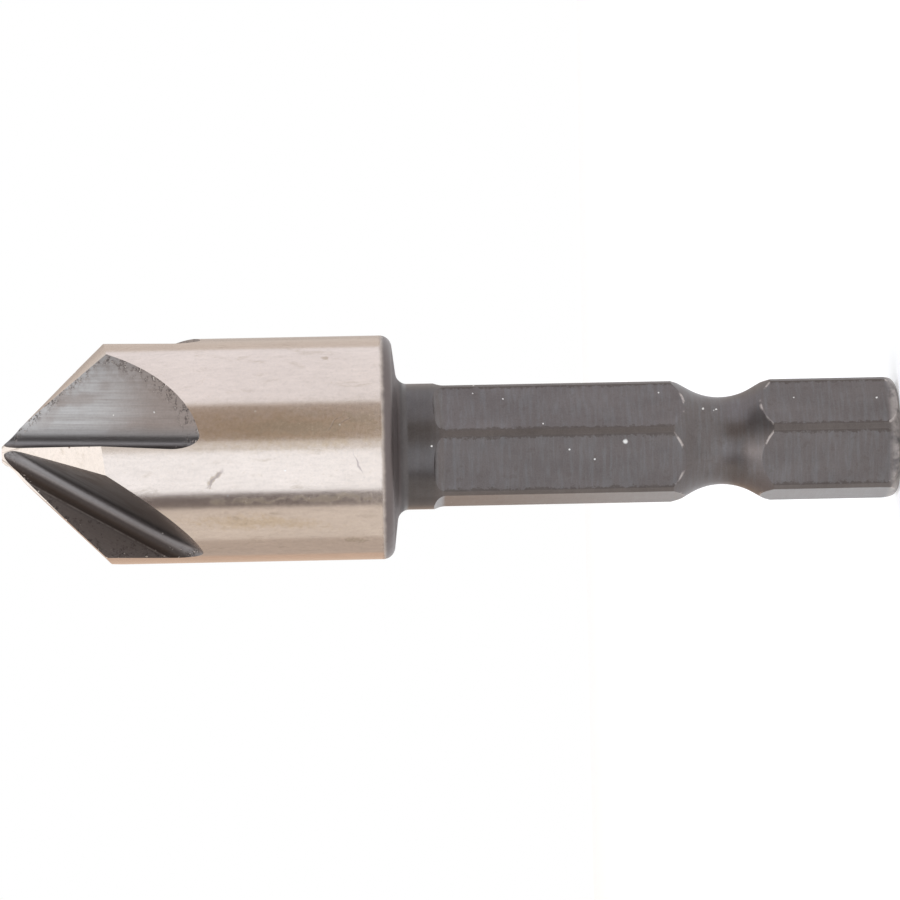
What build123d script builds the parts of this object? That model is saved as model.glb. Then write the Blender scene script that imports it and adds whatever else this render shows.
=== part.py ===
from build123d import *
import os
from math import acos, cos, degrees, radians, sin, tan

# Countersink bit for a quick-change driver, turned, fluted and ground from one steel bar.
# Millimetres and degrees. The bit is built along X from its point, and then stands on its shank end:
# the point is up, and the middle of the shank's end is at the origin.
# A "station" is a distance along the axis from the blunt end of the point.
# A "turn" is an angle about the axis, from +Y towards +Z as it is built and towards +X as it stands.

# Whole bit
overall_length = 50.8

# Head
head_diameter = 12.7
head_length = 22.1  # point to the rim of the back face
point_angle = 90.0
point_flat = 0.9  # diameter of the blunt end of the point
rim_radius = 0.7  # round of the head's back rim
back_face_slope = 7.0  # the back face leans towards the shank on its way in

# Flutes and the lands between them
flute_count = 5
flute_turn = 13.8  # turn of the first cutting face
flute_climb = 29.9  # angle between the flute's root line and the axis
flute_start = 0.42  # station where the root line begins
flute_skew = 3.4  # the cutting face crosses the axis at this angle
cutting_face_offset = 0.32  # cutting face ahead of the axis, where the root line begins
floor_rise = 3.0  # the floor climbs away from square with the cutting face
flute_root_radius = 0.85
land_relief = 4.0  # lean of the cone that each land is ground to, which clears it behind its edge
relief_span = 0.83  # share of the way to the next flute that a land is ground to

# Shank
bar_diameter = 7.14
flat_count = 6
across_flats = 6.35
flat_turn = 180.0  # turn of the first flat, which faces -Y
neck_length = 2.2  # back rim to where the flats begin
neck_root_radius = 0.65
flat_runout_radius = 0.8
end_edge_radius = 0.95

# Detent groove that the driver's ball drops into
groove_from_end = 10.05  # shank end to the middle of the groove
groove_root_diameter = 4.95
groove_root_radius = 3.5
groove_flank_angle = 30.0

# How far a cutter's outline reaches past the metal that it removes
clearance = 1.0

full_turn = 360
head_radius = head_diameter / 2
bar_radius = bar_diameter / 2
point_half_angle = radians(point_angle / 2)
apex_station = -point_flat / 2 / tan(point_half_angle)
shoulder_station = apex_station + head_radius / tan(point_half_angle)


def nearest_vertex(point):
    """The sketch's vertex at a given place, for rounding it."""
    return vertices().sort_by_distance(point)[0]


def turned_blank():
    """The bar as it leaves the lathe: point, land, back face, neck, detent groove and rounded end."""
    neck_station = head_length + (head_radius - bar_radius) * tan(radians(back_face_slope))
    flank = radians(groove_flank_angle)
    groove_station = overall_length - groove_from_end
    groove_root = groove_root_diameter / 2
    arc_half = groove_root_radius * sin(flank)
    arc_top = groove_root + groove_root_radius * (1 - cos(flank))
    groove_half = arc_half + (bar_radius - arc_top) / tan(flank)
    with BuildPart() as blank:
        with BuildSketch(Plane.XY):
            with BuildLine():
                Polyline(
                    (groove_station - arc_half, arc_top),
                    (groove_station - groove_half, bar_radius),
                    (neck_station, bar_radius),
                    (head_length, head_radius),
                    (shoulder_station, head_radius),
                    (0, point_flat / 2),
                    (0, 0),
                    (overall_length, 0),
                    (overall_length, bar_radius),
                    (groove_station + groove_half, bar_radius),
                    (groove_station + arc_half, arc_top),
                )
                ThreePointArc(
                    (groove_station - arc_half, arc_top),
                    (groove_station, groove_root),
                    (groove_station + arc_half, arc_top),
                )
            make_face()
            fillet(nearest_vertex((head_length, head_radius)), rim_radius)
            fillet(nearest_vertex((neck_station, bar_radius)), neck_root_radius)
            fillet(nearest_vertex((overall_length, bar_radius)), end_edge_radius)
        revolve(axis=Axis.X)
    return blank.part


def flat_cutter():
    """The metal milled off for the first flat, with a round run-out at the neck."""
    start = head_length + neck_length
    bottom = across_flats / 2
    length = overall_length + clearance - start
    height = bar_radius + flat_runout_radius + clearance - bottom
    with BuildPart() as cutter:
        with BuildSketch(Plane.XY):
            with Locations((start, bottom)):
                Rectangle(length, height, align=(Align.MIN, Align.MIN))
            fillet(nearest_vertex((start, bottom)), flat_runout_radius)
        extrude(amount=bar_diameter, both=True)
    return cutter.part


def flute_cutter():
    """The metal ground out of the first flute: a flat cutting face, a round root and a flat floor.

    Local +Y is the cutting face's radial direction and local -Z is ahead of it.
    """
    skew = tan(radians(flute_skew))
    root_line = Plane(
        origin=(flute_start, 0, -cutting_face_offset),
        x_dir=(skew, 0, -1),
        z_dir=(1, tan(radians(flute_climb)), skew),
    )
    reach = head_diameter
    with BuildPart() as cutter:
        with BuildSketch(root_line.offset(-head_radius)):
            Polygon(
                (0, 0),
                (reach, reach * tan(radians(floor_rise))),
                (reach, 2 * reach),
                (0, 2 * reach),
                align=None,
            )
            fillet(nearest_vertex(root_line.offset(-head_radius).origin), flute_root_radius)
        extrude(amount=head_radius + head_length / cos(radians(flute_climb)))
    return cutter.part


def relief_cutter():
    """The metal ground off the first land's cone, from nothing at the cutting edge to more behind it.

    It is what lies outside a cone that leans ahead about the point's apex. Its half angle
    is a little wider than the point's, so that both cones hold the cutting edge.
    """
    lean = radians(land_relief)
    half_angle = acos(cos(lean) * cos(point_half_angle))
    depth = (shoulder_station - apex_station) * 2
    with BuildPart() as cone:
        with BuildSketch(Plane.XY):
            Polygon((0, 0), (depth, 0), (depth, depth * tan(half_angle)), align=None)
        revolve(axis=Axis.X)
    leaned_cone = Pos(apex_station, 0, 0) * Rot(Y=land_relief) * cone.part
    edge_lead = degrees(cutting_face_offset / head_radius) / 2
    with BuildPart() as cutter:
        with BuildSketch(Plane.XY):
            with Locations((-clearance, 0)):
                Rectangle(
                    shoulder_station + 2 * clearance,
                    head_radius + clearance,
                    align=(Align.MIN, Align.MIN),
                )
        revolve(axis=Axis.X, revolution_arc=relief_span * full_turn / flute_count)
    return Rot(X=-edge_lead) * (cutter.part - leaned_cone)


def countersink_bit():
    """The finished bit, standing with its point up."""
    bit = turned_blank()
    flat = flat_cutter()
    for number in range(flat_count):
        bit -= Rot(X=flat_turn + number * full_turn / flat_count) * flat
    flute = flute_cutter()
    relief = relief_cutter()
    for number in range(flute_count):
        turn = Rot(X=flute_turn + number * full_turn / flute_count)
        bit -= turn * flute
        bit -= turn * relief
    return Pos(0, 0, overall_length) * Rot(Y=90) * bit


os.makedirs("parts", exist_ok=True)
bit = countersink_bit()
export_step(bit, "parts/countersink_bit.step")
print("countersink bit:", round(bit.volume, 1), "mm3, balance point", bit.center(CenterOf.MASS))
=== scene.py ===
import bpy
import bmesh
import math
import random
from mathutils import Matrix, Vector


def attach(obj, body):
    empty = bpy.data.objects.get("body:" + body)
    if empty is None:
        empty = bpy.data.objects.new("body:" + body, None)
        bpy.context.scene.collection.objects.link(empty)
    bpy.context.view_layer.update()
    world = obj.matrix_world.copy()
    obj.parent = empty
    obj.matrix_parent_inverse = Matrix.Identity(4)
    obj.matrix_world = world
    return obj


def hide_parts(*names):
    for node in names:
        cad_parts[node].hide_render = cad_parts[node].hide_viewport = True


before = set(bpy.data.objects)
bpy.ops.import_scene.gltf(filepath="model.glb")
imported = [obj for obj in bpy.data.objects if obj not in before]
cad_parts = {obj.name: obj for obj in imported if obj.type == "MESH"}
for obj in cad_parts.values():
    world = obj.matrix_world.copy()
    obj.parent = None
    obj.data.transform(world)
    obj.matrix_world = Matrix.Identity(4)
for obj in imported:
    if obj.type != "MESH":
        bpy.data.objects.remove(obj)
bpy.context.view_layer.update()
print("frame loaded")


def addNode(tree, kind, inputs=None, **settings):
    node = tree.nodes.new(kind)
    for name, value in settings.items():
        setattr(node, name, value)
    for name, value in (inputs or {}).items():
        socket = node.inputs[name]
        if isinstance(value, bpy.types.NodeSocket):
            tree.links.new(value, socket)
        else:
            socket.default_value = value
    return node


def calc(tree, operation, *values):
    return addNode(tree, "ShaderNodeMath", dict(enumerate(values)), operation=operation).outputs[0]


def product(tree, *values):
    whole = values[0]
    for value in values[1:]:
        whole = calc(tree, "MULTIPLY", whole, value)
    return whole


def largest(tree, *values):
    whole = values[0]
    for value in values[1:]:
        whole = calc(tree, "MAXIMUM", whole, value)
    return whole


def ramp(tree, value, low, high):
    # 0 at low and 1 at high, and low may be the larger
    node = addNode(tree, "ShaderNodeMapRange", {
        "Value": value, "From Min": low, "From Max": high, "To Min": 0.0, "To Max": 1.0,
    }, interpolation_type="SMOOTHSTEP")
    return node.outputs[0]


def blendColour(tree, share, first, second, mode="MIX"):
    node = addNode(tree, "ShaderNodeMix", data_type="RGBA", blend_type=mode)
    for socket, value in ((node.inputs[0], share), (node.inputs[6], first), (node.inputs[7], second)):
        if isinstance(value, bpy.types.NodeSocket):
            tree.links.new(value, socket)
        elif isinstance(value, tuple):
            socket.default_value = (*value, 1.0)
        else:
            socket.default_value = value
    return node.outputs[2]


def toned(tree, colour, *swings):
    # a colour made lighter and darker by patterns, each with its own swing
    tone = 1.0
    for pattern, swing in swings:
        tone = calc(tree, "MULTIPLY_ADD", calc(tree, "SUBTRACT", pattern, 0.5), swing, tone)
    shade = addNode(tree, "ShaderNodeCombineColor", {0: tone, 1: tone, 2: tone}).outputs[0]
    return blendColour(tree, 1.0, colour, shade, "MULTIPLY")


def noise(tree, vector, scale, detail=3.0, roughness=0.55, distortion=0.0):
    return addNode(tree, "ShaderNodeTexNoise", {
        "Vector": vector, "Scale": scale, "Detail": detail,
        "Roughness": roughness, "Distortion": distortion,
    }).outputs["Fac"]


def stretch(tree, vector, x, y, z):
    return addNode(tree, "ShaderNodeMapping", {"Vector": vector, "Scale": (x, y, z)}).outputs[0]


def vectorOf(tree, x, y, z):
    return addNode(tree, "ShaderNodeCombineXYZ", {0: x, 1: y, 2: z}).outputs[0]


def partsOf(tree, vector):
    return addNode(tree, "ShaderNodeSeparateXYZ", {"Vector": vector}).outputs


def emptyMaterial(name):
    material = bpy.data.materials.new(name)
    material.use_nodes = True
    material.node_tree.nodes.clear()
    return material, material.node_tree


# millimetres and degrees, with stations along the axis from the end of the point
bitSizes = {
    "length": 50.8,
    "headRadius": 6.35,
    "headLength": 22.1,
    "pointHalfAngle": 45.0,
    "pointFlat": 0.9,
    "rimRadius": 0.7,
    "backSlope": 7.0,
    "barRadius": 3.57,
    "neckRadius": 0.65,
    "endRadius": 0.95,
    "grooveFromEnd": 10.05,
    "grooveDepthRadius": 2.475,
    "grooveRound": 3.5,
    "grooveFlank": 30.0,
    "landRing": 8.0,  # a ring of points on the plain land, this far before its rim
    "endRing": 0.3,  # radius of the innermost ring on the shank's end
    "shankFinishFrom": 0.05,  # past the head's length
}

fluteSizes = {
    "count": 5,
    "turn": 13.8,
    "climb": 29.9,
    "start": 0.42,
    "skew": 3.4,
    "offset": 0.32,
    "floorRise": 3.0,
    "rootRadius": 0.85,
    "relief": 4.0,
    "reliefSpan": 0.83,
    "behindFace": 2.0,  # a flute's finish reaches this far behind its cutting face
}

flatSizes = {
    "count": 6,
    "turn": 180.0,
    "halfAcross": 3.175,
    "neckLength": 2.2,
    "runout": 0.8,
    "clearance": 1.0,
}

apexStation = -bitSizes["pointFlat"] / 2


def grooveShape():
    # station of its middle, radius where its flanks would meet, and the flanks' slope
    flank = math.radians(bitSizes["grooveFlank"])
    corner = bitSizes["grooveDepthRadius"] - bitSizes["grooveRound"] * (1 / math.cos(flank) - 1)
    return bitSizes["length"] - bitSizes["grooveFromEnd"], corner, math.tan(flank)


def roundedOutline(corners, arcStep=4.0):
    # corners are (x, y, radius), and a corner with a radius becomes an arc
    outline = []
    for index, (x, y, radius) in enumerate(corners):
        here = Vector((x, y))
        if not radius:
            outline.append(here)
            continue
        before = Vector(corners[index - 1][:2]) - here
        after = Vector(corners[(index + 1) % len(corners)][:2]) - here
        before.normalize()
        after.normalize()
        half = before.angle(after) / 2
        middle = here + (before + after).normalized() * (radius / math.sin(half))
        first = here + before * (radius / math.tan(half)) - middle
        last = here + after * (radius / math.tan(half)) - middle
        steps = max(3, math.ceil(math.degrees(first.angle(last)) / arcStep))
        sweep = math.atan2(first.x * last.y - first.y * last.x, first.dot(last))
        for step in range(steps + 1):
            angle = sweep * step / steps
            outline.append(middle + Matrix.Rotation(angle, 2) @ first)
    return outline


def reliefSlope(turn):
    # radius per station of the leaned cone that a land is ground to, at a turn behind its edge
    lean = math.radians(fluteSizes["relief"])
    half = math.radians(bitSizes["pointHalfAngle"])
    a = math.cos(lean)
    b = math.sin(math.radians(turn)) * math.sin(lean)
    c = math.cos(lean) * math.cos(half)
    return (a * b - math.sqrt((a * b) ** 2 - (b * b - c * c) * (a * a - c * c))) / (b * b - c * c)


def landSlope(turn):
    pitch = 360 / fluteSizes["count"]
    edgeLead = math.degrees(fluteSizes["offset"] / bitSizes["headRadius"]) / 2
    behind = (turn - fluteSizes["turn"] + edgeLead) % pitch
    ground = pitch * fluteSizes["reliefSpan"]
    if behind <= ground:
        return reliefSlope(behind)
    share = (behind - ground) / (pitch - ground)
    return reliefSlope(ground) * (1 - share) + share


def makeBlank(steps=360):
    # the turned bar with its relieved point, around X, with the point's end at 0
    size = bitSizes
    headRadius = size["headRadius"]
    backSlope = math.tan(math.radians(size["backSlope"]))
    neckStation = size["headLength"] + (headRadius - size["barRadius"]) * backSlope
    grooveStation, grooveCorner, grooveSlope = grooveShape()
    grooveHalf = (size["barRadius"] - grooveCorner) / grooveSlope
    profile = roundedOutline([
        (size["headLength"] - size["landRing"], headRadius, 0),
        (size["headLength"], headRadius, size["rimRadius"]),
        (neckStation, size["barRadius"], size["neckRadius"]),
        (grooveStation - grooveHalf, size["barRadius"], 0),
        (grooveStation, grooveCorner, size["grooveRound"]),
        (grooveStation + grooveHalf, size["barRadius"], 0),
        (size["length"], size["barRadius"], size["endRadius"]),
        (size["length"], size["endRing"], 0),
    ])
    mesh = bmesh.new()
    rings = []
    turns = [360 * step / steps for step in range(steps)]
    for share in (0.0, 1.0):
        ring = []
        for turn in turns:
            slope = landSlope(turn)
            station = share * (apexStation + headRadius / slope)
            radius = (station - apexStation) * slope
            angle = math.radians(turn)
            ring.append(mesh.verts.new((station, radius * math.cos(angle), radius * math.sin(angle))))
        rings.append(ring)
    for point in profile:
        ring = []
        for turn in turns:
            angle = math.radians(turn)
            ring.append(mesh.verts.new((point.x, point.y * math.cos(angle), point.y * math.sin(angle))))
        rings.append(ring)
    for first, second in zip(rings, rings[1:]):
        for step in range(steps):
            after = (step + 1) % steps
            mesh.faces.new((first[step], second[step], second[after], first[after]))
    for ring, station in ((rings[0], 0.0), (rings[-1], size["length"])):
        centre = mesh.verts.new((station, 0, 0))
        for step in range(steps):
            mesh.faces.new((ring[step], ring[(step + 1) % steps], centre))
    bmesh.ops.recalc_face_normals(mesh, faces=mesh.faces)
    return mesh


def makePrism(outline, place, low, high):
    # an outline in the place's own XY, pushed along its Z from low to high
    mesh = bmesh.new()
    ends = [[mesh.verts.new(place @ Vector((*point, level))) for point in outline] for level in (low, high)]
    for index in range(len(outline)):
        after = (index + 1) % len(outline)
        mesh.faces.new((ends[0][index], ends[0][after], ends[1][after], ends[1][index]))
    mesh.faces.new(ends[0])
    mesh.faces.new(ends[1])
    bmesh.ops.recalc_face_normals(mesh, faces=mesh.faces)
    return mesh


def asObject(name, mesh, *materials):
    data = bpy.data.meshes.new(name)
    mesh.to_mesh(data)
    mesh.free()
    for material in materials:
        data.materials.append(material)
    piece = bpy.data.objects.new(name, data)
    bpy.context.scene.collection.objects.link(piece)
    return piece


def flutePlace():
    # the first flute's own axes: X ahead of its cutting face, Y outward, Z along its root
    size = fluteSizes
    skew = math.tan(math.radians(size["skew"]))
    along = Vector((1, math.tan(math.radians(size["climb"])), skew)).normalized()
    ahead = Vector((skew, 0, -1)).normalized()
    outward = along.cross(ahead).normalized()
    place = Matrix((ahead, outward, along)).transposed().to_4x4()
    place.translation = Vector((size["start"], 0, -size["offset"]))
    return place


def fluteCutter(material):
    size = fluteSizes
    reach = 2 * bitSizes["headRadius"]
    outline = roundedOutline([
        (0, 0, size["rootRadius"]),
        (reach, reach * math.tan(math.radians(size["floorRise"])), 0),
        (reach, 2 * reach, 0),
        (0, 2 * reach, 0),
    ])
    length = bitSizes["headLength"] / math.cos(math.radians(size["climb"]))
    return asObject("fluteCutter", makePrism(outline, flutePlace(), -bitSizes["headRadius"], length), material)


def flatCutter(material):
    size = flatSizes
    start = bitSizes["headLength"] + size["neckLength"]
    reach = bitSizes["length"] + size["clearance"]
    top = bitSizes["barRadius"] + size["runout"] + size["clearance"]
    outline = roundedOutline([
        (start, size["halfAcross"], size["runout"]),
        (reach, size["halfAcross"], 0),
        (reach, top, 0),
        (start, top, 0),
    ])
    side = 2 * bitSizes["barRadius"]
    return asObject("flatCutter", makePrism(outline, Matrix.Identity(4), -side, side), material)


def startMaterial(name):
    # metal, with the place on the bit in millimetres: X along it from the point, and the turn round it
    material, tree = emptyMaterial(name)
    shader = addNode(tree, "ShaderNodeBsdfPrincipled", {"Metallic": 1.0})
    addNode(tree, "ShaderNodeOutputMaterial", {"Surface": shader.outputs[0]})
    point = addNode(tree, "ShaderNodeMapping", {
        "Vector": addNode(tree, "ShaderNodeTexCoord").outputs["Object"],
        "Location": (bitSizes["length"], 0, 0),
        "Rotation": (0, math.radians(-90), 0),
        "Scale": (1000, 1000, 1000),
    }).outputs[0]
    x, y, z = partsOf(tree, point)
    radius = calc(tree, "SQRT", calc(tree, "MULTIPLY_ADD", y, y, calc(tree, "MULTIPLY", z, z)))
    turn = calc(tree, "DEGREES", calc(tree, "ARCTAN2", z, y))
    spot = {"point": point, "station": x, "y": y, "z": z, "radius": radius, "turn": turn}
    return material, tree, shader, spot


def finishMaterial(tree, shader, colour, roughness, height, grain):
    tree.links.new(colour, shader.inputs["Base Color"])
    tree.links.new(roughness, shader.inputs["Roughness"])
    bump = addNode(tree, "ShaderNodeBump", {"Height": height, "Distance": grain / 1000, "Strength": 1.0})
    tree.links.new(bump.outputs[0], shader.inputs["Normal"])


# pale specks of dust: station, height above the axis on the side towards the camera, radius
# more are strewn at random, one for a share of the cells
dust = {
    "colour": (0.7, 0.68, 0.65),
    "sideTurn": 161.0,
    "cells": 0.75,
    "share": 0.12,
    "size": 0.05,
    "ragged": 0.13,
    "land": ((14.5, 2.14, 0.06), (12.9, -2.54, 0.07), (19.2, 1.3, 0.05), (16.1, -1.2, 0.05)),
    "flute": ((8.85, 2.2, 0.06), (9.1, -4.6, 0.06), (2.1, -2.1, 0.06), (6.5, 2.1, 0.05)),
    "flat": (
        (35.2, 0.05, 0.17), (28.4, 2.6, 0.07), (26.7, 2.93, 0.06), (37.2, 2.78, 0.06),
        (44.8, 2.36, 0.05), (49.5, 2.27, 0.07), (39.0, -1.9, 0.06), (30.6, 1.15, 0.05),
    ),
    "turned": (
        (26.9, 1.05, 0.08), (32.5, 1.18, 0.06), (39.7, 1.83, 0.08), (40.3, 1.72, 0.06),
        (40.45, 1.78, 0.06), (24.3, 0.02, 0.07),
    ),
}


def dustMask(tree, spot, specks):
    side = math.radians(dust["sideTurn"])
    sideY, sideZ = math.cos(side), math.sin(side)
    front = calc(tree, "MULTIPLY_ADD", spot["y"], sideY, calc(tree, "MULTIPLY", spot["z"], sideZ))
    above = calc(tree, "MULTIPLY_ADD", spot["y"], sideZ, calc(tree, "MULTIPLY", spot["z"], -sideY))
    facing = calc(tree, "GREATER_THAN", front, 0.3)
    place = vectorOf(tree, spot["station"], above, 0.0)
    edge = product(tree, calc(tree, "SUBTRACT", noise(tree, spot["point"], 9.0, 2.0), 0.5), dust["ragged"])
    masks = []
    for station, height, radius in specks:
        away = addNode(tree, "ShaderNodeVectorMath", {0: place, 1: (station, height, 0)}, operation="DISTANCE")
        ragged = calc(tree, "ADD", away.outputs["Value"], edge)
        masks.append(ramp(tree, ragged, radius, radius * 0.35))
    placed = product(tree, largest(tree, *masks), facing)
    cells = addNode(tree, "ShaderNodeTexVoronoi", {"Vector": spot["point"], "Scale": dust["cells"]})
    few = calc(tree, "LESS_THAN", partsOf(tree, cells.outputs["Color"])[0], dust["share"])
    strewn = product(tree, ramp(tree, cells.outputs["Distance"], dust["size"], dust["size"] * 0.6), few)
    return largest(tree, placed, strewn)


landFinish = {
    "steel": (0.60, 0.52, 0.46),
    "stain": (0.36, 0.29, 0.215),
    "tarnish": (0.52, 0.42, 0.3),
    "smoke": (0.3, 0.255, 0.25),
    "oxide": (0.15, 0.126, 0.12),
    "roughness": 0.13,
    "oxideRoughness": 0.38,
    "oxideFrom": 21.38,
    "oxideWhole": 21.76,
    "oxideWander": 0.16,
    "blotShare": 0.4,
    "markShare": 0.62,
    "speckShare": 0.34,
    "scratchShare": 0.6,
    "tarnishShare": 0.6,
    "grain": 0.005,
}

# marks on the land: station, turn, length and width in millimetres, lean in degrees
landStains = (
    (12.3, 187.3, 0.4, 0.22, 10), (16.6, 187.0, 0.34, 0.2, 0), (14.3, 187.5, 1.6, 0.12, 2),
    (18.6, 187.0, 2.2, 0.2, -1), (19.9, 214.6, 0.5, 0.2, 0), (17.0, 150.0, 2.6, 0.3, 2),
    (20.3, 146.0, 0.7, 0.3, 20), (18.5, 108.0, 0.16, 0.12, 0), (8.5, 262.0, 0.8, 0.3, 12),
    (15.2, 290.0, 1.5, 0.25, -8), (19.4, 325.0, 0.6, 0.3, 30), (17.3, 20.0, 1.2, 0.22, 4),
    (20.4, 62.0, 0.5, 0.2, -15), (12.15, 175.6, 0.5, 0.16, -44),
)
landTarnish = (
    (17.0, 151.0, 5.5, 0.8, 0), (14.5, 201.0, 3.0, 0.4, 3), (16.0, 260.0, 5.0, 0.7, 0),
    (17.0, 330.0, 4.0, 0.9, 2), (15.5, 60.0, 4.0, 0.6, -2),
)
landScratches = (
    (12.2, 175.3, 0.62, 0.08, -44), (20.15, 168.5, 0.45, 0.04, 78), (18.9, 148.2, 0.6, 0.03, -42),
    (19.5, 147.5, 0.4, 0.025, -60), (14.9, 300.0, 0.9, 0.03, 35), (18.0, 250.0, 0.7, 0.03, -50),
    (16.8, 40.0, 0.8, 0.035, 25), (19.6, 5.0, 0.5, 0.03, 65),
)


def markMask(tree, spot, marks, soft, jitter):
    # soft-edged ovals on the unrolled cylinder, ragged by a jitter
    perDegree = math.radians(bitSizes["headRadius"])
    wrapped = calc(tree, "FLOORED_MODULO", spot["turn"], 360.0)
    unrolled = vectorOf(tree, spot["station"], calc(tree, "MULTIPLY", wrapped, perDegree), 0.0)
    drift = addNode(tree, "ShaderNodeTexNoise", {
        "Vector": spot["point"], "Scale": 1.1, "Detail": 1.0,
    }).outputs["Color"]
    drift = addNode(tree, "ShaderNodeVectorMath", {
        0: drift, 1: (0.5, 0.5, 0.5),
    }, operation="SUBTRACT").outputs[0]
    unrolled = addNode(tree, "ShaderNodeVectorMath", {
        0: drift, 1: (0.9, 0.9, 0.0), 2: unrolled,
    }, operation="MULTIPLY_ADD").outputs[0]
    masks = []
    for station, turn, length, width, lean in marks:
        local = addNode(tree, "ShaderNodeMapping", {
            "Vector": unrolled, "Location": (station, turn * perDegree, 0),
            "Rotation": (0, 0, math.radians(lean)), "Scale": (length, width, 1),
        }, vector_type="TEXTURE").outputs[0]
        away = addNode(tree, "ShaderNodeVectorMath", {0: local}, operation="LENGTH").outputs["Value"]
        masks.append(ramp(tree, calc(tree, "ADD", away, jitter), 1.0 + soft, 1.0 - soft))
    return largest(tree, *masks)


def makeLandMaterial():
    value = landFinish
    material, tree, shader, spot = startMaterial("groundLand")
    place = spot["point"]
    cloud = noise(tree, stretch(tree, place, 0.16, 0.3, 0.3), 1.0, 4.0, 0.6)
    speckle = noise(tree, place, 5.5, 4.0, 0.75)
    blot = noise(tree, stretch(tree, place, 0.45, 1.1, 1.1), 1.0, 5.0, 0.66, 0.4)
    rub = noise(tree, stretch(tree, place, 1.3, 5.0, 5.0), 1.0, 3.0, 0.6)
    jitter = product(tree, calc(tree, "SUBTRACT", noise(tree, place, 4.0, 4.0, 0.7), 0.5), 3.4)
    marks = markMask(tree, spot, landStains, 0.5, jitter)
    stain = product(tree, ramp(tree, blot, 0.54, 0.74), value["blotShare"])
    stain = largest(tree, stain, product(tree, marks, value["markShare"]))
    specks = product(tree, ramp(tree, speckle, 0.55, 0.72), value["speckShare"])
    nudge = product(tree, calc(tree, "SUBTRACT", noise(tree, place, 9.0), 0.5), 0.8)
    scratch = product(tree, markMask(tree, spot, landScratches, 0.6, nudge), value["scratchShare"])
    tarnish = markMask(tree, spot, landTarnish, 0.7, product(tree, jitter, 0.8))
    colour = blendColour(tree, product(tree, tarnish, value["tarnishShare"]), value["steel"], value["tarnish"])
    colour = blendColour(tree, largest(tree, stain, specks), colour, value["stain"])
    colour = blendColour(tree, scratch, colour, value["smoke"])
    colour = toned(tree, colour, (cloud, 0.22), (speckle, 0.34), (rub, 0.2))
    wander = product(tree, calc(tree, "SUBTRACT", noise(tree, place, 2.2), 0.5), value["oxideWander"])
    station = calc(tree, "ADD", spot["station"], wander)
    oxide = ramp(tree, station, value["oxideFrom"], value["oxideWhole"])
    colour = blendColour(tree, oxide, colour, value["oxide"])
    colour = blendColour(tree, dustMask(tree, spot, dust["land"]), colour, dust["colour"])
    rough = calc(tree, "MULTIPLY_ADD", speckle, 0.07, value["roughness"])
    rough = calc(tree, "MULTIPLY_ADD", stain, 0.16, rough)
    rough = calc(tree, "MULTIPLY_ADD", oxide, value["oxideRoughness"] - value["roughness"], rough)
    grain = noise(tree, stretch(tree, place, 9.0, 0.35, 0.35), 1.0, 3.0, 0.6)
    waves = noise(tree, stretch(tree, place, 0.5, 0.8, 0.8), 1.0, 2.0)
    height = calc(tree, "MULTIPLY_ADD", grain, 0.14, product(tree, waves, 0.45))
    height = calc(tree, "MULTIPLY_ADD", speckle, 0.06, height)
    height = calc(tree, "MULTIPLY_ADD", scratch, -0.3, height)
    finishMaterial(tree, shader, colour, rough, height, value["grain"])
    return material


# ranges are millimetres in the flute's own space, where a finish starts and where it is whole
fluteFinish = {
    "steel": (0.36, 0.345, 0.336),
    "bright": (0.46, 0.452, 0.45),
    "brown": (0.25, 0.205, 0.182),
    # darker in the root round: partly a darker tint of the steel, partly painted shade
    "root": (0.19, 0.18, 0.178),
    # painted shade: the dark band in each flute just outward of its root
    "valleyShade": (0.077, 0.063, 0.057),
    "dark": (0.07, 0.058, 0.054),
    "burr": (0.6, 0.54, 0.49),
    "face": (0.16, 0.139, 0.131),
    "line": (0.42, 0.38, 0.36),
    "roughness": 0.24,
    "faceRoughness": 0.36,
    "streakShift": 0.31,  # per degree of a flute's turn, so that no two flutes have the same streaks
    "rim": (1.5, 0.2), "rimShare": 0.5,
    "cloudShare": 0.5,
    "farEnd": (4.5, 10.5), "farShare": 0.85,
    "nearEnd": (3.6, 1.2), "nearShare": 0.8,
    "faceRange": (0.85, 1.25),
    "rootRange": (1.5, 0.6), "rootShare": 0.9,
    "valleyShadeLow": (0.12, 0.5), "valleyShadeHigh": (1.3, 0.95),
    "ragged": (0.75, 0.1),
    "pitShare": 0.6,
    "lineFrom": 0.2, "lineRange": (0.07, 0.02), "lineShare": 0.6,
    "grain": 0.005,
}


def fluteSpace(tree, spot):
    # the place in its own flute: ahead of the cutting face, outward from the root, along the root
    pitch = 360 / fluteSizes["count"]
    # the cutting face starts ahead of the axis and leans across it, and a flute ends just behind its face
    lean = math.tan(math.radians(fluteSizes["skew"]))
    atStart = fluteSizes["offset"] + lean * fluteSizes["start"]
    fromAxis = calc(tree, "DEGREES", calc(tree, "MULTIPLY_ADD", spot["station"], -lean, atStart))
    spare = calc(tree, "SUBTRACT", fluteSizes["behindFace"], calc(tree, "DIVIDE", fromAxis, spot["radius"]))
    past = calc(tree, "SUBTRACT", calc(tree, "SUBTRACT", spot["turn"], fluteSizes["turn"]), spare)
    local = calc(tree, "ADD", calc(tree, "FLOORED_MODULO", past, pitch), calc(tree, "SUBTRACT", spare, pitch))
    ownTurn = calc(tree, "SUBTRACT", spot["turn"], local)
    turned = addNode(tree, "ShaderNodeVectorRotate", {
        "Vector": spot["point"], "Angle": calc(tree, "RADIANS", ownTurn),
    }, rotation_type="X_AXIS", invert=True)
    place = flutePlace()
    return addNode(tree, "ShaderNodeMapping", {
        "Vector": turned.outputs[0], "Location": place.translation, "Rotation": place.to_euler(),
    }, vector_type="TEXTURE").outputs[0], ownTurn


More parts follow.
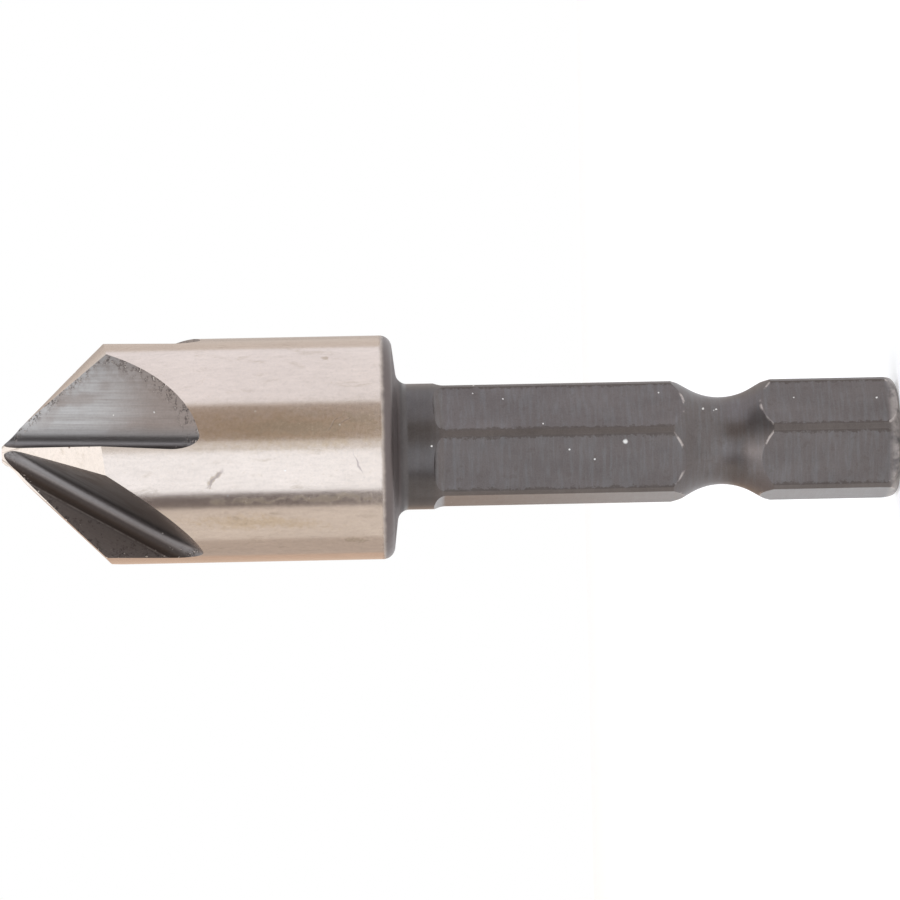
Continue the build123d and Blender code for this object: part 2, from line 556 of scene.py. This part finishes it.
def makeFluteMaterial():
    value = fluteFinish
    material, tree, shader, spot = startMaterial("groundFlute")
    place = spot["point"]
    own, ownTurn = fluteSpace(tree, spot)
    ahead, outward, along = partsOf(tree, own)
    shifted = vectorOf(tree, ahead, outward, calc(tree, "MULTIPLY_ADD", ownTurn, value["streakShift"], along))
    cone = calc(tree, "SUBTRACT", calc(tree, "SUBTRACT", spot["station"], apexStation), spot["radius"])
    depth = calc(tree, "MINIMUM", calc(tree, "SUBTRACT", bitSizes["headRadius"], spot["radius"]), cone)
    streaks = noise(tree, stretch(tree, shifted, 6.0, 6.0, 0.12), 1.0, 4.0, 0.66)
    fine = noise(tree, stretch(tree, shifted, 15.0, 15.0, 0.6), 1.0, 3.0, 0.6)
    patch = noise(tree, place, 2.6, 4.0, 0.68)
    burr = noise(tree, place, 6.5, 3.0, 0.65)
    cloud = noise(tree, stretch(tree, shifted, 0.55, 0.55, 0.3), 1.0, 2.0)
    onFace = ramp(tree, outward, *value["faceRange"])
    colour = blendColour(tree, ramp(tree, streaks, 0.32, 0.68), value["steel"], value["bright"])
    rim = product(tree, ramp(tree, depth, *value["rim"]), ramp(tree, patch, 0.36, 0.6))
    clouded = ramp(tree, cloud, 0.5, 0.66)
    farEnd = ramp(tree, along, *value["farEnd"])
    nearEnd = ramp(tree, along, *value["nearEnd"])
    colour = blendColour(tree, product(tree, rim, value["rimShare"]), colour, value["brown"])
    colour = blendColour(tree, product(tree, clouded, value["cloudShare"]), colour, value["brown"])
    colour = blendColour(tree, product(tree, farEnd, value["farShare"]), colour, value["brown"])
    colour = blendColour(tree, product(tree, nearEnd, value["nearShare"]), colour, value["bright"])
    colour = blendColour(tree, onFace, colour, value["face"])
    # darker in the root round: partly a darker tint of the steel, partly painted shade
    inRootTintAndShade = ramp(tree, calc(tree, "MAXIMUM", ahead, outward), *value["rootRange"])
    colour = blendColour(tree, product(tree, inRootTintAndShade, value["rootShare"]), colour, value["root"])
    # painted shade: a dark band in each flute just outward of its root
    aboveRoot = ramp(tree, outward, *value["valleyShadeLow"])
    inValleyShade = product(tree, aboveRoot, ramp(tree, outward, *value["valleyShadeHigh"]))
    colour = blendColour(tree, inValleyShade, colour, value["valleyShade"])
    ragged = product(tree, ramp(tree, depth, *value["ragged"]), ramp(tree, patch, 0.47, 0.56))
    colour = blendColour(tree, product(tree, ragged, ramp(tree, burr, 0.46, 0.56)), colour, value["dark"])
    colour = blendColour(tree, product(tree, ragged, ramp(tree, burr, 0.6, 0.66)), colour, value["burr"])
    pits = product(tree, onFace, ramp(tree, noise(tree, place, 4.2, 4.0, 0.7), 0.56, 0.66))
    colour = blendColour(tree, product(tree, pits, value["pitShare"]), colour, value["dark"])
    fromLine = calc(tree, "SUBTRACT", outward, fluteSizes["rootRadius"] + value["lineFrom"])
    onLine = ramp(tree, calc(tree, "ABSOLUTE", fromLine), *value["lineRange"])
    line = product(tree, onFace, onLine, ramp(tree, patch, 0.3, 0.55))
    colour = blendColour(tree, product(tree, line, value["lineShare"]), colour, value["line"])
    colour = toned(tree, colour, (fine, 0.3), (burr, 0.25))
    colour = blendColour(tree, dustMask(tree, spot, dust["flute"]), colour, dust["colour"])
    rough = calc(tree, "MULTIPLY_ADD", streaks, 0.12, value["roughness"])
    rough = calc(tree, "MULTIPLY_ADD", ragged, 0.15, rough)
    rough = calc(tree, "MULTIPLY_ADD", onFace, value["faceRoughness"] - value["roughness"], rough)
    height = calc(tree, "MULTIPLY_ADD", streaks, 0.5, product(tree, ragged, burr, 1.6))
    height = calc(tree, "MULTIPLY_ADD", fine, 0.3, height)
    finishMaterial(tree, shader, colour, rough, height, value["grain"])
    return material


# ranges are millimetres: from the head's length, beyond the bar's radius, or short of the shank's end
oxideFinish = {
    "steel": (0.138, 0.121, 0.117),
    "pale": (0.148, 0.138, 0.137),
    "dark": (0.09, 0.074, 0.067),
    "corner": (0.136, 0.119, 0.112),
    "edge": (0.1, 0.085, 0.078),
    "neck": (0.09, 0.082, 0.08),
    "back": (0.137, 0.115, 0.111),
    "worn": (0.42, 0.375, 0.35),
    "roughness": 0.28,
    "neckRoughness": 0.21,
    "rootRoughness": 0.5,
    "turnedRougher": 0.05,
    "darkShare": 0.35,
    "wornRange": (0.065, 0.015),
    "stripFrom": (2.6, 3.0), "stripDepth": 0.06, "stripShare": 0.9,
    "neckRange": (3.0, 2.0), "neckShare": 0.75,
    "rootBeyond": (0.0, 0.13),
    "backBeyond": (0.05, 0.33),
    "endShort": (0.8, 0.35), "endShare": 0.65,
    "edgeInside": (0.2, 0.06), "edgeWander": 0.7,
    "grain": 0.005,
}


def flatSpace(tree, spot):
    # across the nearest flat from its middle, and height above the axis
    pitch = 360 / flatSizes["count"]
    past = calc(tree, "SUBTRACT", spot["turn"], flatSizes["turn"] - pitch / 2)
    local = calc(tree, "RADIANS", calc(tree, "SUBTRACT", calc(tree, "FLOORED_MODULO", past, pitch), pitch / 2))
    across = product(tree, spot["radius"], calc(tree, "SINE", local))
    height = product(tree, spot["radius"], calc(tree, "COSINE", local))
    return across, height


def wornEdges(tree, spot, across, height):
    # how near the flats' curved ends are, at the groove and at the rounded end
    middle, corner, slope = grooveShape()
    away = calc(tree, "ABSOLUTE", calc(tree, "SUBTRACT", spot["station"], middle))
    grooveRadius = calc(tree, "MULTIPLY_ADD", away, slope, corner)
    endRound = bitSizes["endRadius"]
    past = calc(tree, "MAXIMUM", calc(tree, "SUBTRACT", spot["station"], bitSizes["length"] - endRound), 0.0)
    rise = calc(tree, "SQRT", calc(tree, "SUBTRACT", endRound * endRound, calc(tree, "MULTIPLY", past, past)))
    endRadius = calc(tree, "ADD", rise, bitSizes["barRadius"] - endRound)
    turnedRadius = calc(tree, "MINIMUM", grooveRadius, endRadius)
    fromTurned = calc(tree, "ABSOLUTE", calc(tree, "SUBTRACT", turnedRadius, spot["radius"]))
    fromFlat = calc(tree, "ABSOLUTE", calc(tree, "SUBTRACT", height, flatSizes["halfAcross"]))
    inside = calc(tree, "LESS_THAN", turnedRadius, bitSizes["barRadius"] - 0.02)
    near = ramp(tree, calc(tree, "MAXIMUM", fromTurned, fromFlat), *oxideFinish["wornRange"])
    return product(tree, near, inside)


def makeOxideMaterial(name, onFlats):
    value = oxideFinish
    head, bar, end = bitSizes["headLength"], bitSizes["barRadius"], bitSizes["length"]
    material, tree, shader, spot = startMaterial(name)
    place = spot["point"]
    across, height = flatSpace(tree, spot)
    rolled = noise(tree, stretch(tree, place, 4.5, 0.5, 0.5), 1.0, 4.0, 0.62)
    mottle = noise(tree, place, 2.0, 5.0, 0.65)
    fine = noise(tree, place, 12.0, 3.0, 0.6)
    broad = noise(tree, stretch(tree, place, 0.25, 0.6, 0.6), 1.0, 2.0)
    worn = wornEdges(tree, spot, across, height)
    chance = noise(tree, place, 0.75, 3.0, 0.65)
    colour = blendColour(tree, ramp(tree, rolled, 0.42, 0.68), value["steel"], value["pale"])
    mottled = product(tree, ramp(tree, mottle, 0.54, 0.7), value["darkShare"])
    colour = blendColour(tree, mottled, colour, value["dark"])
    bump = calc(tree, "MULTIPLY_ADD", fine, 0.5, mottle)
    rough = calc(tree, "MULTIPLY_ADD", fine, 0.1, value["roughness"])
    if onFlats:
        wander = calc(tree, "SUBTRACT", noise(tree, place, 3.6, 3.0, 0.65), 0.5)
        side = calc(tree, "ADD", calc(tree, "ABSOLUTE", across), product(tree, wander, value["edgeWander"]))
        edge = math.sqrt(bar ** 2 - flatSizes["halfAcross"] ** 2)
        onEdge = ramp(tree, side, *(edge - inside for inside in value["edgeInside"]))
        colour = blendColour(tree, onEdge, colour, value["edge"])
        specks = dust["flat"]
    else:
        onStrip = ramp(tree, spot["station"], *(head + past for past in value["stripFrom"]))
        strip = product(tree, onStrip, calc(tree, "GREATER_THAN", spot["radius"], bar - value["stripDepth"]))
        neck = ramp(tree, spot["station"], *(head + past for past in value["neckRange"]))
        rough = calc(tree, "ADD", rough, value["turnedRougher"])
        rough = calc(tree, "MULTIPLY_ADD", neck, value["neckRoughness"] - value["roughness"], rough)
        colour = blendColour(tree, product(tree, neck, value["neckShare"]), colour, value["neck"])
        colour = blendColour(tree, product(tree, strip, value["stripShare"]), colour, value["corner"])
        root = ramp(tree, spot["radius"], *(bar + beyond for beyond in value["rootBeyond"]))
        rough = calc(tree, "MULTIPLY_ADD", root, value["rootRoughness"] - value["neckRoughness"], rough)
        back = ramp(tree, spot["radius"], *(bar + beyond for beyond in value["backBeyond"]))
        colour = blendColour(tree, back, colour, value["back"])
        specks = dust["turned"]
    colour = blendColour(tree, product(tree, worn, ramp(tree, chance, 0.49, 0.6)), colour, value["worn"])
    onEnd = ramp(tree, spot["station"], *(end - short for short in value["endShort"]))
    onEnd = product(tree, onEnd, ramp(tree, chance, 0.36, 0.56))
    colour = blendColour(tree, product(tree, onEnd, value["endShare"]), colour, value["worn"])
    colour = toned(tree, colour, (broad, 0.36), (fine, 0.34), (rolled, 0.12), (mottle, 0.3))
    colour = blendColour(tree, dustMask(tree, spot, specks), colour, dust["colour"])
    finishMaterial(tree, shader, colour, rough, bump, value["grain"])
    return material


landMaterial = makeLandMaterial()
fluteMaterial = makeFluteMaterial()
turnedMaterial = makeOxideMaterial("blackTurned", False)
flatMaterial = makeOxideMaterial("blackFlat", True)
print("finishes made")


def socketId(tree, name):
    for item in tree.interface.items_tree:
        if item.item_type == "SOCKET" and item.in_out == "INPUT" and item.name == name:
            return item.identifier


def geometryOf(tree, thing):
    info = addNode(tree, "GeometryNodeObjectInfo", {"Object": thing}, transform_space="ORIGINAL")
    return info.outputs["Geometry"]


def roundAxis(tree, cutter, count, turn):
    # copies of a cutter, evenly turned about X
    points = addNode(tree, "GeometryNodeMeshLine", {"Count": count, "Offset": (0, 0, 0)}, mode="OFFSET")
    index = addNode(tree, "GeometryNodeInputIndex").outputs[0]
    step = calc(tree, "DIVIDE", 2 * math.pi, count)
    angle = calc(tree, "MULTIPLY_ADD", index, step, calc(tree, "RADIANS", turn))
    copies = addNode(tree, "GeometryNodeInstanceOnPoints", {
        "Points": points.outputs[0], "Instance": geometryOf(tree, cutter),
        "Rotation": vectorOf(tree, angle, 0.0, 0.0),
    })
    return copies.outputs[0]


# nicks in the cutting edges: stations on the edge towards the camera, and how many on each other edge
chips = {
    "front": (2.15, 4.05, 5.2),
    "frontFlute": 2,
    "others": 4,
    "from": 1.2,
    "pastShoulder": 1.0,
    "outside": 0.02,
    "size": 0.11,
    "smallest": 0.45,  # as a share of the size
    "spin": 6.28,
    "seed": 7,
}


def strewnChips(tree, points, size, seed, material):
    # a rough little stone on each point, of its own size and turn
    spread = addNode(tree, "FunctionNodeRandomValue", data_type="FLOAT")
    turned = addNode(tree, "FunctionNodeRandomValue", data_type="FLOAT_VECTOR")
    turned.inputs[1].default_value = (chips["spin"],) * 3
    spread.inputs[2].default_value = chips["smallest"]
    spread.inputs[3].default_value = 1.0
    for node in (spread, turned):
        tree.links.new(seed, node.inputs["Seed"])
    stone = addNode(tree, "GeometryNodeMeshIcoSphere", {"Radius": 1.0, "Subdivisions": 1})
    finished = addNode(tree, "GeometryNodeSetMaterial", {"Geometry": stone.outputs[0], "Material": material})
    copies = addNode(tree, "GeometryNodeInstanceOnPoints", {
        "Points": geometryOf(tree, points), "Instance": finished.outputs[0], "Rotation": turned.outputs[0],
        "Scale": calc(tree, "MULTIPLY", size, spread.outputs[1]),
    })
    return copies.outputs[0]


def bitTree():
    # the blank with its flutes, flats and nicks cut, and the black finish on what is left of the shank
    tree = bpy.data.node_groups.new("groundBit", "GeometryNodeTree")
    sockets = tree.interface
    sockets.new_socket("Geometry", in_out="INPUT", socket_type="NodeSocketGeometry")
    for name, kind in (
        ("Flute Cutter", "Object"), ("Flute Count", "Int"), ("Flute Turn", "Float"),
        ("Flat Cutter", "Object"), ("Flat Count", "Int"), ("Flat Turn", "Float"),
        ("Chip Points", "Object"), ("Chip Size", "Float"), ("Chip Seed", "Int"),
        ("Neck Station", "Float"), ("Shank Finish", "Material"), ("Chip Finish", "Material"),
    ):
        sockets.new_socket(name, in_out="INPUT", socket_type="NodeSocket" + kind)
    sockets.new_socket("Geometry", in_out="OUTPUT", socket_type="NodeSocketGeometry")
    given = addNode(tree, "NodeGroupInput").outputs
    flutes = roundAxis(tree, given["Flute Cutter"], given["Flute Count"], given["Flute Turn"])
    flats = roundAxis(tree, given["Flat Cutter"], given["Flat Count"], given["Flat Turn"])
    stones = strewnChips(
        tree, given["Chip Points"], given["Chip Size"], given["Chip Seed"], given["Chip Finish"])
    body = given["Geometry"]
    for cutters in (flutes, flats, stones):
        cut = addNode(tree, "GeometryNodeMeshBoolean", operation="DIFFERENCE", solver="EXACT")
        tree.links.new(body, cut.inputs["Mesh 1"])
        tree.links.new(cutters, cut.inputs["Mesh 2"])
        body = cut.outputs[0]
    whole = addNode(tree, "GeometryNodeRealizeInstances", {"Geometry": body}).outputs[0]
    place = addNode(tree, "GeometryNodeInputPosition").outputs[0]
    material = addNode(tree, "GeometryNodeInputMaterialIndex").outputs[0]
    isShank = addNode(tree, "FunctionNodeCompare", operation="GREATER_THAN", data_type="FLOAT")
    tree.links.new(partsOf(tree, place)[0], isShank.inputs[0])
    tree.links.new(given["Neck Station"], isShank.inputs[1])
    isBlank = addNode(tree, "FunctionNodeCompare", operation="EQUAL", data_type="INT")
    tree.links.new(material, isBlank.inputs[2])
    both = addNode(tree, "FunctionNodeBooleanMath", operation="AND")
    tree.links.new(isShank.outputs[0], both.inputs[0])
    tree.links.new(isBlank.outputs[0], both.inputs[1])
    finished = addNode(tree, "GeometryNodeSetMaterial", {
        "Geometry": whole, "Selection": both.outputs[0], "Material": given["Shank Finish"],
    })
    result = addNode(tree, "NodeGroupOutput")
    tree.links.new(finished.outputs[0], result.inputs[0])
    return tree


def frozen(name, source):
    # the evaluated shape as a plain mesh of its own
    graph = bpy.context.evaluated_depsgraph_get()
    data = bpy.data.meshes.new_from_object(source.evaluated_get(graph), depsgraph=graph)
    piece = bpy.data.objects.new(name, data)
    bpy.context.scene.collection.objects.link(piece)
    return piece


def chipPoints():
    skew = math.tan(math.radians(fluteSizes["skew"]))
    draw = random.Random(chips["seed"])
    last = apexStation + bitSizes["headRadius"] + chips["pastShoulder"]
    mesh = bmesh.new()
    for number in range(fluteSizes["count"]):
        stations = [draw.uniform(chips["from"], last) for nick in range(chips["others"])]
        if number == chips["frontFlute"]:
            stations = chips["front"]
        turn = Matrix.Rotation(math.radians(fluteSizes["turn"] + number * 360 / fluteSizes["count"]), 4, "X")
        for station in stations:
            radius = min(bitSizes["headRadius"], station - apexStation)
            behind = skew * (station - fluteSizes["start"]) - fluteSizes["offset"]
            outward = math.sqrt(radius ** 2 - behind ** 2)
            mesh.verts.new(turn @ Vector((station, outward + chips["outside"], behind)))
    return asObject("chipPoints", mesh)


def makeBit():
    blank = asObject("turnedBlank", makeBlank(), landMaterial)
    flute = fluteCutter(fluteMaterial)
    flat = flatCutter(flatMaterial)
    points = chipPoints()
    tree = bitTree()
    modifier = blank.modifiers.new("ground", "NODES")
    modifier.node_group = tree
    for name, value in (
        ("Flute Cutter", flute), ("Flute Count", fluteSizes["count"]), ("Flute Turn", fluteSizes["turn"]),
        ("Flat Cutter", flat), ("Flat Count", flatSizes["count"]), ("Flat Turn", flatSizes["turn"]),
        ("Chip Points", points), ("Chip Size", chips["size"]), ("Chip Seed", chips["seed"]),
        ("Neck Station", bitSizes["headLength"] + bitSizes["shankFinishFrom"]),
        ("Shank Finish", turnedMaterial), ("Chip Finish", landMaterial),
    ):
        modifier[socketId(tree, name)] = value
    bit = frozen("countersinkBit", blank)
    for spare in (blank, flute, flat, points):
        bpy.data.objects.remove(spare)
    # in metres, and up on its shank end
    stands = Matrix.Translation((0, 0, bitSizes["length"] / 1000)) @ Matrix.Rotation(math.radians(90), 4, "Y")
    bit.data.transform(stands @ Matrix.Scale(0.001, 4))
    return bit


# the least bend between two faces that shows as an edge, in degrees
sharpAngle = 22

bit = makeBit()
print("bit cut:", len(bit.data.vertices), "points,", len(bit.data.polygons), "faces")

bit.data.shade_smooth()
bit.data.set_sharp_from_angle(angle=math.radians(sharpAngle))
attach(bit, "root")
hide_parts("countersink_bit")
print("bit placed")


view = {
    "azimuth": 19.0,
    "elevation": 1.0,
    "lean": 1.13,
    "distance": 0.300,
    "lens": 211.4,
    "sensor": 36,
    "nearest": 0.01,
    "aim": (0, 0, 0.0254),
    "rise": -0.00023,
}

studio = {
    "floorSize": 0.42,
    "floorColour": (0.7, 0.712, 0.724),
    "floorGlow": 0.4,
    "away": 0.42,
    "panelStep": 6,
    "worldStrength": 1.0,
}

# each panel: degrees round from the camera and degrees up, from and to, and its colour
panels = {
    "frontLamp": (-44, -1, -3.3, 14, (1.48, 1.58, 1.72)),
    "frontCardTop": (-44, -1, 14, 36, (0.6, 0.6, 0.62)),
    "sideLamp": (-120, -42, 36, 50, (1.5, 1.5, 1.55)),
    "spotLamp": (-42, -18, 36, 60, (3.4, 3.4, 3.45)),
    "sideLampEnd": (-18, -1, 36, 50, (1.5, 1.5, 1.55)),
    "frontCard": (-61, -44, -3.3, 36, (0.22, 0.19, 0.19)),
    "darkCard": (9, 47, -3.3, 36, (0.5, 0.42, 0.36)),
    "highCard": (22, 95, 36, 62, (0.15, 0.135, 0.135)),
    "topCard": (-18, 22, 50, 71, (1.0, 1.0, 1.02)),
    "backLamp": (49, 126, -3.3, 36, (1.23, 1.25, 1.35)),
    "warmCard": (-104, -60, -3.3, 14, (0.96, 0.9, 0.84)),
    "warmCardTop": (-104, -60, 14, 36, (0.78, 0.74, 0.72)),
    "lowCard": (-138, -104, -3.3, 8, (0.68, 0.6, 0.54)),
    "lowCardTop": (-138, -104, 8, 36, (0.95, 0.84, 0.78)),
    "lowCardBehind": (-172, -138, -3.3, 36, (0.8, 0.61, 0.49)),
    "tanCard": (126, 152, -3.3, 36, (0.86, 0.8, 0.76)),
    "tanCardBehind": (152, 188, -3.3, 36, (0.68, 0.62, 0.58)),
}
topLamp = {"height": 0.43, "size": 0.7, "colour": (0.84, 0.92, 1.0), "power": 0.85}


def direction(azimuth, elevation):
    # from the middle of the bit, with -Y as 0 degrees round
    a, e = math.radians(azimuth), math.radians(elevation)
    return Vector((math.sin(a) * math.cos(e), -math.cos(a) * math.cos(e), math.sin(e)))


def glowing(name, colour):
    material, tree = emptyMaterial(name)
    glow = addNode(tree, "ShaderNodeEmission", {"Color": (*colour, 1), "Strength": 1.0})
    addNode(tree, "ShaderNodeOutputMaterial", {"Surface": glow.outputs[0]})
    return material


def makeFloor():
    # matte, with a glow that only the camera and the metal see
    mesh = bmesh.new()
    bmesh.ops.create_circle(mesh, cap_ends=True, segments=96, radius=studio["floorSize"])
    material, tree = emptyMaterial("paleFloor")
    rays = addNode(tree, "ShaderNodeLightPath").outputs
    seen = largest(tree, rays["Is Camera Ray"], rays["Is Glossy Ray"], rays["Is Transmission Ray"])
    matte = addNode(tree, "ShaderNodeBsdfDiffuse", {"Color": (*studio["floorColour"], 1)})
    glow = addNode(tree, "ShaderNodeEmission", {"Color": (1, 1, 1, 1)})
    tree.links.new(product(tree, seen, studio["floorGlow"]), glow.inputs["Strength"])
    both = addNode(tree, "ShaderNodeAddShader")
    tree.links.new(matte.outputs[0], both.inputs[0])
    tree.links.new(glow.outputs[0], both.inputs[1])
    addNode(tree, "ShaderNodeOutputMaterial", {"Surface": both.outputs[0]})
    floor = asObject("paleFloor", mesh, material)


def makePanel(name, start, end, low, high, colour):
    # a panel curved round the middle of the bit, which the camera doesn't see
    mesh = bmesh.new()
    middle = Vector(view["aim"])
    columns = max(2, round((end - start) / studio["panelStep"]))
    rows = max(2, round((high - low) / studio["panelStep"]))
    heights = [low + (high - low) * row / rows for row in range(rows + 1)]
    grid = []
    for column in range(columns + 1):
        azimuth = view["azimuth"] + start + (end - start) * column / columns
        grid.append([mesh.verts.new(middle + direction(azimuth, up) * studio["away"]) for up in heights])
    for first, second in zip(grid, grid[1:]):
        for row in range(rows):
            mesh.faces.new((first[row], second[row], second[row + 1], first[row + 1]))
    panel = asObject(name, mesh, glowing(name, colour))
    panel.visible_camera = False


def makeTopLamp():
    lamp = bpy.data.lights.new("topLamp", "AREA")
    lamp.shape = "DISK"
    lamp.size = topLamp["size"]
    lamp.color = topLamp["colour"]
    lamp.energy = topLamp["power"]
    holder = bpy.data.objects.new("topLamp", lamp)
    holder.location = (0, 0, topLamp["height"])
    bpy.context.scene.collection.objects.link(holder)


def makeWorld():
    world = bpy.data.worlds.new("studio")
    bpy.context.scene.world = world
    world.use_nodes = True
    tree = world.node_tree
    tree.nodes.clear()
    light = addNode(tree, "ShaderNodeBackground", {"Color": (1, 1, 1, 1), "Strength": studio["worldStrength"]})
    addNode(tree, "ShaderNodeOutputWorld", {"Surface": light.outputs[0]})


def makeCamera():
    # on its side, so that the point is to the left
    data = bpy.data.cameras.new("camera")
    data.lens = view["lens"]
    data.sensor_width = view["sensor"]
    data.clip_start = view["nearest"]
    camera = bpy.data.objects.new("camera", data)
    back = direction(view["azimuth"], view["elevation"])
    down = (back * back.z - Vector((0, 0, 1))).normalized()
    right = Matrix.Rotation(math.radians(-view["lean"]), 3, back) @ down
    up = back.cross(right)
    turn = Matrix((right, up, back)).transposed().to_4x4()
    place = Vector(view["aim"]) + back * view["distance"] + up * view["rise"]
    camera.matrix_world = Matrix.Translation(place) @ turn
    bpy.context.scene.collection.objects.link(camera)
    bpy.context.scene.camera = camera


makeFloor()
makeWorld()
for name, panel in panels.items():
    makePanel(name, *panel)
makeTopLamp()
makeCamera()
bpy.context.scene.view_settings.view_transform = "Standard"
print("studio made")
